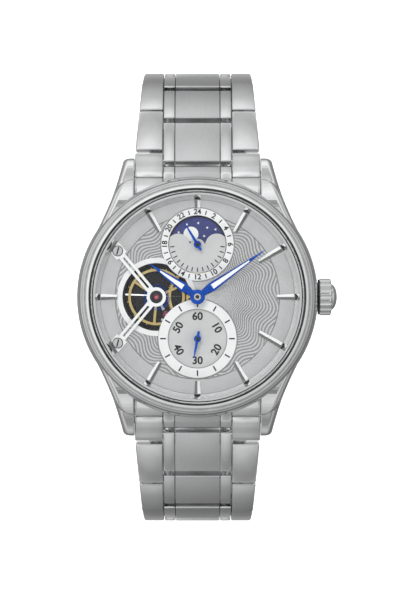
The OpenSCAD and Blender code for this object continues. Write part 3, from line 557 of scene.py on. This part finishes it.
def night_sky():
    """Moon and stars printed on the day and night disc."""
    z = DISC_TOP + PRINT_LIFT
    moon_a = math.radians(90 + 32)
    count = 48
    outline = []
    for i in range(count):
        a = 2 * math.pi * i / count
        outline.append((DAY.x + 2.15 * MM * math.cos(moon_a) + 1.3 * MM * math.cos(a),
                        DAY.y + 2.15 * MM * math.sin(moon_a) + 1.3 * MM * math.sin(a)))
    plate("moon", outline, z, z + 0.01 * MM, "day_night_work", "night_blue", "moon")
    stars = [(-57, 3.9), (-28, 3.95), (2, 3.75), (30, 3.4), (50, 4.1), (38, 1.9), (66, 3.7), (80, 4.3),
             (-75, 4.3)]
    for i, (clock, far) in enumerate(stars):
        a = math.radians(90 - clock)
        centre = Vector((DAY.x + far * MM * math.cos(a), DAY.y + far * MM * math.sin(a)))
        outline = []
        for k in range(10):
            r = (0.26 if k % 2 == 0 else 0.11) * MM
            b = 2 * math.pi * k / 10 + a
            outline.append((centre.x + r * math.cos(b), centre.y + r * math.sin(b)))
        plate(f"star_{i + 1}", outline, z, z + 0.01 * MM, "day_night_work", "night_blue", "moon")


def heart_setting():
    """Dark ring around the small jewel in the bridge's hub."""
    z = top_of("heart_bridge") / MM
    outline = rounded([(0.45, z - 0.35), (1.11, z - 0.35), (1.11, z - 0.15), (0.45, z - 0.25)], 0.03)
    lathe("heart_setting", outline, "case", "polished_steel", "dark_and_shade", (HEART.x, HEART.y), turns=64)


def arbor_caps():
    """Steel ends of the arbors that carry the two small hands."""
    for name, node, body, place in (("seconds_cap", "fourth_wheel", "fourth_wheel", SECONDS),
                                    ("day_cap", "day_wheel", "day_night_work", DAY)):
        z = top_of(node) / MM
        outline = rounded([(0.0, z - 0.03), (0.36, z - 0.03), (0.36, z + 0.04), (0.0, z + 0.1)], 0.02)
        lathe(name, outline, body, "polished_steel", "dark_and_shade", (place.x, place.y), turns=32)


def pad_screws():
    """Painted shade at the two screws that hold the heart bridge: a dark ring in each seat and a dark bar for
    each slot.
    """
    z = top_of("screws")
    for i, clock in enumerate((150, 210)):
        a = math.radians(clock)
        x, y = 16.0 * math.cos(a), 16.0 * math.sin(a)
        low = z / MM - 0.24
        outline = rounded([(0.78, low), (0.93, low), (0.93, low + 0.06), (0.78, low + 0.06)], 0.02)
        lathe(f"pad_seat_shadow_{i + 1}", outline, "case", "polished_steel", "ink", (x * MM, y * MM), turns=48)
        bars(f"pad_slot_shadow_{i + 1}", [(x, y, 75, 1.35, 0.24)], z - 0.10 * MM, "case", "ink",
             "polished_steel", 0.104)


# ---------------------------------------------------------------- hands
def leaf_hand(name, node, body, length, wide_at, wide, hub_r, angle):
    """A blued leaf hand with a raised rim around its light paint."""
    low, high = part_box(node)
    z0, z1 = low.z, high.z
    place = Matrix.Rotation(angle, 4, "Z")
    neck = 0.53
    tip = 0.05
    side = [(0.9, neck), (wide_at * 0.72, neck), (wide_at, wide / 2), (length, tip)]
    outline = [(x * MM, -y * MM) for x, y in side] + [(x * MM, y * MM) for x, y in reversed(side)]
    slot = [(wide_at * 1.05, wide * 0.27), (length * 0.78, 0.12)]
    hole = [(x * MM, -y * MM) for x, y in slot] + [(x * MM, y * MM) for x, y in reversed(slot)]
    verts = []
    for z in (z0, z1):
        verts += [place @ Vector((x, y, z)) for x, y in outline]
        verts += [place @ Vector((x, y, z)) for x, y in hole]
    n, h = len(outline), len(hole)
    step = n + h
    faces = [(i, (i + 1) % n, step + (i + 1) % n, step + i) for i in range(n)]
    faces += [(n + (i + 1) % h, n + i, step + n + i, step + n + (i + 1) % h) for i in range(h)]
    frame_faces = [(0, 1, 2, n), (2, 3, n + 1, n), (3, 4, n + 2, n + 1), (4, 5, n + 3, n + 2),
                   (5, 6, 7), (5, 7, 0, n + 3), (0, n, n + 3)]
    for face in frame_faces:
        faces.append(tuple(step + i for i in face))
        faces.append(tuple(reversed(face)))
    obj = piece(name, verts, faces, body, "blued_steel", "blued", smooth=False)
    soften(obj, 0.06 * MM, 30)
    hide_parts(node)
    foot, crest = z0 / MM, z1 / MM + 0.03
    hub = [(hub_r * 0.5, foot), (hub_r, foot), (hub_r, crest), (hub_r * 0.5, crest)]
    lathe(name + "_hub", rounded(hub, 0.07), body, "blued_steel", "blued", turns=96)
    paint = [(x * 0.999, y * 0.999) for x, y in hole]
    plate(name + "_light", paint, z0 + 0.03 * MM, z1 - 0.03 * MM, body, "blued_steel", "lume", place=place)


def cannon_tip():
    """Polished end of the cannon pinion inside the minute hand's hub, with a dark disc painted as the shade
    in its bore.
    """
    top = max(top_of("minute_hand"), top_of("centre_wheel")) / MM + 0.05
    outline = rounded([(0.30, top - 0.25), (0.62, top - 0.25), (0.62, top + 0.02), (0.46, top + 0.1),
                       (0.30, top - 0.02)], 0.04)
    # painted shade: a dark disc inside the bore of the tip
    well_shadow = [(0.0, top - 0.08), (0.36, top - 0.08), (0.36, top - 0.03), (0.0, top - 0.03)]
    lathe("cannon_well_shadow", well_shadow, "minute_work", "polished_steel", "dark_and_shade", turns=32)
    lathe("cannon_tip", outline, "minute_work", "polished_steel", "applied", turns=64)


# ---------------------------------------------------------------- case
def crown_seal():
    """Dark seal that shows between the crown and the case band."""
    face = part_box("crown")[0].x / MM
    axis = joint("crown_turn")["pos_m"]
    outline = [(1.6, face - 0.08), (3.08, face - 0.08), (3.08, face + 0.25), (1.6, face + 0.25)]
    place = Matrix.Translation((0, axis[1], axis[2])) @ Matrix.Rotation(math.pi / 2, 4, "Y")
    lathe("crown_seal", rounded(outline, 0.05), "crown", "gasket_black", "gasket", turns=96, place=place)


def bezel():
    """Stepped polished bezel, turned with small edge breaks."""
    low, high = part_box("bezel")
    z = low.z / MM
    top = high.z / MM
    outline = [(18.25, z), (20.55, z), (20.55, z + 0.9), (20.25, z + 1.4), (19.72, z + 1.72),
               (19.62, z + 1.45), (19.5, z + 1.72), (19.35, z + 2.25), (18.85, top), (18.77, top - 0.1),
               (18.75, z + 1.2), (18.25, z + 1.2)]
    obj = lathe("bezel_polished", rounded(outline, 0.12, 4), "case", "polished_steel", "polished", turns=300)
    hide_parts("bezel")


def shrunk(points, amount):
    """A closed 2-D outline moved inwards by amount."""
    count = len(points)
    area = sum(points[i - 1][0] * points[i][1] - points[i][0] * points[i - 1][1] for i in range(count))
    turn = 1 if area > 0 else -1
    out = []
    for i in range(count):
        before = Vector(points[i]) - Vector(points[i - 1])
        after = Vector(points[(i + 1) % count]) - Vector(points[i])
        along = (before.normalized() + after.normalized()).normalized()
        out.append(Vector(points[i]) + turn * amount * Vector((-along.y, along.x)))
    return out


def slab_block(outline, x0, x1, edge, taper=(0.0, 0.0)):
    """A (y, z) outline carried from x0 to x1 with broken edges (mm); taper widens x1 along y."""
    y_low = min(p[0] for p in outline)
    y_span = max(p[0] for p in outline) - y_low
    tight = shrunk(outline, edge)
    close = shrunk(outline, 0.3 * edge)
    rows = []
    for x, ring in ((x0, tight), (x0 + 0.3 * edge, close), (x0 + edge, outline), (x1 - edge, outline),
                    (x1 - 0.3 * edge, close), (x1, tight)):
        far = abs(x - x1) < abs(x - x0)
        widths = [far * (taper[0] + (taper[1] - taper[0]) * (p[0] - y_low) / y_span) for p in ring]
        rows.append([Vector((x + w, p[0], p[1])) for w, p in zip(widths, ring)])
    count = len(outline)
    verts = [v for ring in rows for v in ring]
    faces = [tuple(range(count)), tuple(range(len(verts) - 1, len(verts) - count - 1, -1))]
    for i in range(len(rows) - 1):
        for k in range(count):
            m = (k + 1) % count
            faces.append((i * count + m, i * count + k, (i + 1) * count + k, (i + 1) * count + m))
    return verts, faces


def link_outline(y0, y1, half, dome=0.30):
    """Side outline of a link: domed on top, flat below, with rounded ends."""
    steps = 14
    top = []
    for k in range(steps + 1):
        t = k / steps
        top.append((y0 + (y1 - y0) * t, half - dome * (2 * t - 1) ** 2))
    return rounded(top + [(y1 - 0.7, -half), (y0 + 0.7, -half)], 0.32, 4)


def bezier(p0, p1, p2, p3, steps):
    """Points along a cubic curve."""
    out = []
    for k in range(steps + 1):
        t = k / steps
        u = 1 - t
        out.append(tuple(u ** 3 * a + 3 * u * u * t * b + 3 * u * t * t * c + t ** 3 * d
                         for a, b, c, d in zip(p0, p1, p2, p3)))
    return out


def height_at(points, place):
    """Straight-line reading of (place, height) points."""
    for (a, u), (b, v) in zip(points, points[1:]):
        if min(a, b) <= place <= max(a, b) and a != b:
            return u + (v - u) * (place - a) / (b - a)
    return points[0][1] if abs(place - points[0][0]) < abs(place - points[-1][0]) else points[-1][1]


def mirrored(block):
    """A block's mirror image across x = 0."""
    verts, faces = block
    return [Vector((-v.x, v.y, v.z)) for v in verts], [tuple(reversed(f)) for f in faces]


def joined(blocks, place):
    """Several blocks in one mesh, carried to place; millimetres become metres."""
    verts = []
    faces = []
    for block_verts, block_faces in blocks:
        base = len(verts)
        verts += [place @ (v * MM) for v in block_verts]
        faces += [tuple(base + i for i in f) for f in block_faces]
    return verts, faces


def smooth_by_angle(obj, angle=35):
    """Smooth shading with edges sharper than angle kept."""
    mesh = obj.data
    shape = bmesh.new()
    shape.from_mesh(mesh)
    bmesh.ops.recalc_face_normals(shape, faces=shape.faces)
    for edge in shape.edges:
        if len(edge.link_faces) == 2:
            edge.smooth = edge.calc_face_angle(0) < math.radians(angle)
    for face in shape.faces:
        face.smooth = True
    shape.to_mesh(mesh)
    shape.free()


HALF_T = 1.45
ROW_WIDTHS = [21.9, 20.7, 19.9, 19.4, 19.0, 18.6, 18.3, 18.0]


def bracelet():
    """Seven rows of links on each side: brushed centre, polished strips and outer links."""
    last = axis_of("clasp_cover_fold")
    for side, sign in (("12", 1), ("6", -1)):
        pins = [axis_of(f"row_{side}_{i}_fold") for i in range(1, 8)]
        pins.append(Vector((0, sign * last.y, last.z)))
        for i in range(7):
            body = f"links_{side}_{i + 1}"
            along = pins[i + 1] - pins[i]
            down = math.atan2(-along.z, sign * along.y)
            flip = Matrix.Diagonal((1, sign, 1, 1))
            place = Matrix.Translation(pins[i]) @ flip @ Matrix.Rotation(-down, 4, "X")
            end = 6.75 - (0.6 if i == 6 else 0)
            w0, w1 = ROW_WIDTHS[i] / 2, ROW_WIDTHS[i + 1] / 2
            inner = link_outline(-1.05, end, HALF_T)
            centre = slab_block(inner, -3.95, 3.95, 0.14)
            strip = slab_block(inner, 4.02, 6.0, 0.2)
            wide = slab_block(link_outline(1.25, 9.05, HALF_T), 6.1, w0, 0.3, (0.0, w1 - w0))
            verts, faces = joined([centre], place)
            if sign < 0:
                faces = [tuple(reversed(f)) for f in faces]
            obj = piece(f"{body}_centre", verts, faces, body, "brushed_steel", "links")
            smooth_by_angle(obj)
            verts, faces = joined([strip, mirrored(strip), wide, mirrored(wide)], place)
            polished = piece(f"{body}_sides", verts, faces, body, "brushed_steel", "sides")
            smooth_by_angle(polished)
            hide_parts(body)


LUG_REACH = 24.4
LUG_START = 9.6
LUG_ROUND = 1.2
LUG_IN = 11.1
DIAL_OPENING = 18.6


def crease(x, y):
    """Depth below the shoulder's surface of the lug's top: a short step along a curved line."""
    line = 20.35 - 0.27 * max(0.0, x - 11.4) ** 2
    t = min(1.0, max(0.0, (y - line) / 0.3))
    return 0.48 * t * t * (3 - 2 * t)


def lug():
    """One lug towards +X and +Y (mm), lofted along Y with a full shoulder and crisp inner edge."""
    side = bezier((DIAL_OPENING, LUG_START), (15.8, 15.0), (14.6, 17.5), (13.2, LUG_REACH - 1), 24)
    side += bezier((13.2, LUG_REACH - 0.9), (13.05, LUG_REACH - 0.3), (12.7, LUG_REACH), (12.1, LUG_REACH), 8)
    wide = [(y, x) for x, y in side]
    top = bezier((LUG_START, 9.15), (16.5, 9.3), (20.5, 8.3), (LUG_REACH - 0.5, 5.3), 24)
    top += bezier((LUG_REACH - 0.45, 5.25), (LUG_REACH - 0.2, 5.0), (LUG_REACH, 4.7), (LUG_REACH, 4.2), 6)[1:]
    low = bezier((LUG_START, 4.6), (12.5, 3.0), (15.0, 0.9), (21.5, 0.6), 16)
    low += [(23.4, 0.5), (24.1, 0.9), (LUG_REACH, 1.6)]
    places = [LUG_START + (LUG_REACH - LUG_ROUND - LUG_START) * k / 260 for k in range(261)]
    places += [LUG_REACH - LUG_ROUND * (1 - math.sin(math.pi / 2 * k / 8)) for k in range(1, 9)]
    rows = []
    for y in places:
        x_out = height_at(wide, y)
        z_top = height_at(top, y)
        z_low = height_at(low, y)
        x_in = max(LUG_IN, math.sqrt(max(0.0, DIAL_OPENING ** 2 - y * y)))
        shoulder = min(1.3, 0.45 * (x_out - x_in))
        ring = [Vector((x_in, z_low)), Vector((x_out, z_low))]
        ring += [Vector(p) for p in bezier((x_out, z_top - 1.7), (x_out, z_top - 0.7),
                                           (x_out - 0.45 * shoulder, z_top),
                                           (x_out - shoulder, z_top + 0.02), 8)]
        inner = x_in + 0.12
        span = inner - x_out + shoulder
        ring += [Vector((x_out - shoulder + span * k / 24, z_top + 0.02)) for k in range(1, 25)]
        ring.append(Vector((x_in, z_top - 0.10)))
        drops = [crease(p.x, y) if i > 1 else 0 for i, p in enumerate(ring)]
        rows.append([Vector((p.x, y, p.y - drop)) for p, drop in zip(ring, drops)])
    count = len(rows[0])
    verts = [v for ring in rows for v in ring]
    faces = [tuple(range(count)), tuple(range(len(verts) - 1, len(verts) - count - 1, -1))]
    for i in range(len(rows) - 1):
        for k in range(count):
            m = (k + 1) % count
            faces.append((i * count + m, i * count + k, (i + 1) * count + k, (i + 1) * count + m))
    return verts, faces


def four_ways(block):
    """The block and its mirror images across both upright planes."""
    blocks = []
    for x_sign in (1, -1):
        for y_sign in (1, -1):
            verts = [Vector((x_sign * v.x, y_sign * v.y, v.z)) for v in block[0]]
            faces = block[1] if x_sign * y_sign > 0 else [tuple(reversed(f)) for f in block[1]]
            blocks.append((verts, faces))
    return blocks


def case_body():
    """Case band and lugs with smooth shoulders."""
    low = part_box("case_middle")[0].z / MM
    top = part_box("case_middle")[1].z / MM
    band = [(17.66, low), (18.8, low), (19.7, low + 0.5), (20.7, 2.9), (21.05, 4.2), (21.05, 7.4),
            (20.95, 8.3), (20.55, top), (18.21, top), (18.21, 7.9), (17.66, 7.9)]
    obj = lathe("case_band", rounded(band, 0.25, 4), "case", "polished_steel", "polished", turns=300)
    smooth_by_angle(obj, 40)
    verts, faces = joined(four_ways(lug()), Matrix.Identity(4))
    lugs = piece("case_lugs", verts, faces, "case", "polished_steel", "polished")
    smooth_by_angle(lugs, 50)
    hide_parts("case_middle")
    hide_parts("case_middle")


def end_pieces():
    """End links: brushed centre, strips, outer blocks and the skirt that meets the case."""
    inner = rounded([(18.7, 1.1), (18.7, 6.7), (20.6, 6.0), (21.8, 5.15), (22.5, 4.45), (23.03, 3.9),
                     (22.98, 3.4), (22.4, 1.1)], 0.25, 4)
    outer = rounded([(20.9, 1.1), (20.9, 5.40), (21.9, 5.15), (22.9, 4.75), (23.9, 4.28), (24.8, 3.9),
                     (25.33, 3.6), (25.28, 3.1), (24.65, 1.1)], 0.25, 4)
    skirt = rounded([(17.8, 1.1), (17.8, 6.95), (19.4, 6.55), (20.8, 6.0), (20.8, 1.1)], 0.2, 4)
    centre = slab_block(inner, -3.95, 3.95, 0.14)
    strip = slab_block(inner, 4.02, 6.0, 0.2)
    wide = slab_block(outer, 6.1, 11.0, 0.2)
    wing = slab_block(skirt, 6.1, 11.0, 0.1)
    across = [(centre[0], centre[1]), ([Vector((v.x, -v.y, v.z)) for v in centre[0]],
                                       [tuple(reversed(f)) for f in centre[1]])]
    verts, faces = joined(across, Matrix.Identity(4))
    middle = piece("end_link_centres", verts, faces, "case", "polished_steel", "links")
    smooth_by_angle(middle)
    verts, faces = joined(four_ways(strip) + four_ways(wide) + four_ways(wing), Matrix.Identity(4))
    sides = piece("end_link_sides", verts, faces, "case", "polished_steel", "sides")
    smooth_by_angle(sides)
    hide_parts("end_links")
    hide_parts("end_links")


# Material and width of the broken edges of each CAD node; the link rows are not listed
FINISH = {
    "case_middle": ("polished", 0.12), "case_back": ("brushed", 0.08), "crown_tube": ("polished", 0),
    "crown": ("polished", 0.06), "end_links": ("polished", 0.12), "spring_bars": ("polished", 0),
    "crystal": ("glass", 0), "case_back_crystal": ("glass", 0), "crystal_gasket": ("gasket", 0),
    "movement_ring": ("nickel", 0), "dial": ("dial", 0.02), "rehaut": ("mirror", 0),
    "hour_markers": ("marker", 0.03), "subdial_plates": ("plates", 0.02), "subdial_rings": ("pale", 0.04),
    # the main plate's near-black and the bridges' black tops are painted shade under the dial
    "heart_bridge": ("open_bridge", 0.05), "screws": ("polished", 0.03), "main_plate": ("dark_and_shade", 0.05),
    "bridges": ("bridge", 0.06), "jewels": ("ruby", 0.02), "hour_wheel": ("gilt", 0),
    "centre_wheel": ("gilt", 0), "minute_wheel": ("gilt", 0), "third_wheel": ("gilt", 0),
    "fourth_wheel": ("gilt", 0), "escape_wheel": ("gilt", 0), "barrel": ("gilt", 0),
    "idler_wheel": ("gilt", 0), "day_wheel": ("gilt", 0), "balance_wheel": ("gilt", 0.03),
    "pallet_fork": ("polished", 0), "hairspring": ("blued", 0), "day_night_disc": ("night", 0),
    "seconds_hand": ("blued", 0.03), "day_hand": ("blued", 0.03), "rotor": ("brushed", 0.08),
    "stem": ("polished", 0), "setting_lever": ("brushed", 0.02), "clasp_cover": ("brushed", 0.15),
    "clasp_middle_blade": ("brushed", 0.08), "clasp_inner_blade": ("polished", 0.08),
    "clasp_button_right": ("polished", 0.12), "clasp_button_left": ("polished", 0.12),
}


def finish_nodes():
    """Every CAD node that still shows gets its material, smooth shading and broken edges."""
    for name, obj in NODES.items():
        finish, edge = FINISH.get(name, ("links", 0.16))
        obj.data.materials.clear()
        obj.data.materials.append(M[finish])
        obj.data.polygons.foreach_set("use_smooth", [True] * len(obj.data.polygons))
        if edge:
            soften(obj, edge * MM, 32)
        else:
            split = obj.modifiers.new("sharp", "EDGE_SPLIT")
            split.split_angle = math.radians(32)


# ---------------------------------------------------------------- studio
def area_light(name, place, aim, size, power):
    """A soft box that faces aim."""
    data = bpy.data.lights.new(name, "AREA")
    data.shape = "RECTANGLE"
    data.size, data.size_y = size
    data.energy = power
    obj = bpy.data.objects.new(name, data)
    bpy.context.scene.collection.objects.link(obj)
    obj.location = place
    obj.rotation_euler = (Vector(aim) - Vector(place)).to_track_quat("-Z", "Y").to_euler()
    obj.visible_glossy = False


# Brightness of the surround against height (-1 below, 0 at the horizon, 1 overhead), and its lean
SKY = [(-1.0, 0.50), (-0.80, 0.30), (-0.55, 0.22), (-0.31, 0.36), (-0.08, 0.52), (0.17, 0.90), (0.33, 0.48),
       (0.47, 0.44), (0.66, 0.66), (0.84, 1.0), (0.905, 0.85), (0.93, 0.12), (0.955, 0.68), (1.0, 0.70)]
SKY_LEAN = (-0.22, 0.30, 0.0)
FLOOR_HALF = 1.5
CAMERA_AT = (0.00044, -0.00053, 0.455)
CAMERA_LENS = 153.9


def studio():
    """Pale floor, soft boxes, a graded surround and the camera above the dial."""
    world = bpy.data.worlds.new("studio")
    bpy.context.scene.world = world
    world.use_nodes = True
    tree = world.node_tree
    tree.nodes.clear()
    out = tree.nodes.new("ShaderNodeOutputWorld")
    back = tree.nodes.new("ShaderNodeBackground")
    coord = tree.nodes.new("ShaderNodeTexCoord")
    split = tree.nodes.new("ShaderNodeSeparateXYZ")
    ramp = tree.nodes.new("ShaderNodeValToRGB")
    for i, (height, shade) in enumerate((SKY[0], SKY[-1])):
        ramp.color_ramp.elements[i].position = (height + 1) / 2
        ramp.color_ramp.elements[i].color = (shade, shade, shade, 1)
    for height, shade in SKY[1:-1]:
        ramp.color_ramp.elements.new((height + 1) / 2).color = (shade, shade, shade, 1)
    side = tree.nodes.new("ShaderNodeVectorMath")
    side.operation = "DOT_PRODUCT"
    side.inputs[1].default_value = SKY_LEAN
    tree.links.new(coord.outputs["Generated"], side.inputs[0])
    tilt = tree.nodes.new("ShaderNodeMath")
    tilt.operation = "ADD"
    tilt.inputs[1].default_value = 1.0
    tree.links.new(side.outputs["Value"], tilt.inputs[0])
    tree.links.new(tilt.outputs["Value"], back.inputs["Strength"])
    tree.links.new(coord.outputs["Generated"], split.inputs["Vector"])
    rise = tree.nodes.new("ShaderNodeMapRange")
    rise.inputs["From Min"].default_value = -1.0
    tree.links.new(split.outputs["Z"], rise.inputs["Value"])
    tree.links.new(rise.outputs["Result"], ramp.inputs["Fac"])
    tree.links.new(ramp.outputs["Color"], back.inputs["Color"])
    tree.links.new(back.outputs["Background"], out.inputs["Surface"])

    mesh = bpy.data.meshes.new("floor")
    corners = [(x * FLOOR_HALF, y * FLOOR_HALF, FLOOR_Z) for x, y in ((-1, -1), (1, -1), (1, 1), (-1, 1))]
    mesh.from_pydata(corners, [], [(0, 1, 2, 3)])
    floor = bpy.data.objects.new("floor", mesh)
    bpy.context.scene.collection.objects.link(floor)
    n = Nodes("floor_pale").set(Base_Color=(0.93, 0.93, 0.93, 1), Roughness=0.9,
                                Emission_Color=(1, 1, 1, 1), Emission_Strength=0.75)
    mesh.materials.append(n.material)
    floor.visible_glossy = False

    area_light("key", (-0.12, 0.30, 0.40), (0, 0, 0), (0.30, 0.10), 1.2)
    area_light("fill", (0.40, 0.05, 0.30), (0, 0, 0), (0.05, 0.40), 0.6)
    area_light("low", (-0.05, -0.45, 0.25), (0, 0, 0), (0.40, 0.05), 0.6)

    camera_data = bpy.data.cameras.new("camera")
    camera_data.lens = CAMERA_LENS
    camera_data.sensor_width = 36
    camera_data.sensor_fit = "AUTO"
    camera_data.clip_start = 0.01
    camera = bpy.data.objects.new("camera", camera_data)
    camera.location = CAMERA_AT
    bpy.context.scene.collection.objects.link(camera)
    bpy.context.scene.camera = camera
    bpy.context.scene.view_settings.view_transform = "Standard"


studio()
finish_nodes()
bezel()
case_body()
end_pieces()
bracelet()
guilloche()
dial_band()
markers()
printed_scales()
ring_lines()
night_sky()
heart_setting()
pad_screws()
arbor_caps()
HOUR_ANGLE = math.radians(90 - MINUTES_SHOWN / 2)
MINUTE_ANGLE = math.radians(90 - 6 * (MINUTES_SHOWN % 60))
leaf_hand("hour_hand_blued", "hour_hand", "hour_work", 10.1, 2.9, 1.7, 1.3, HOUR_ANGLE)
leaf_hand("minute_hand_blued", "minute_hand", "minute_work", 14.07, 3.0, 1.65, 1.26, MINUTE_ANGLE)
cannon_tip()
crown_seal()
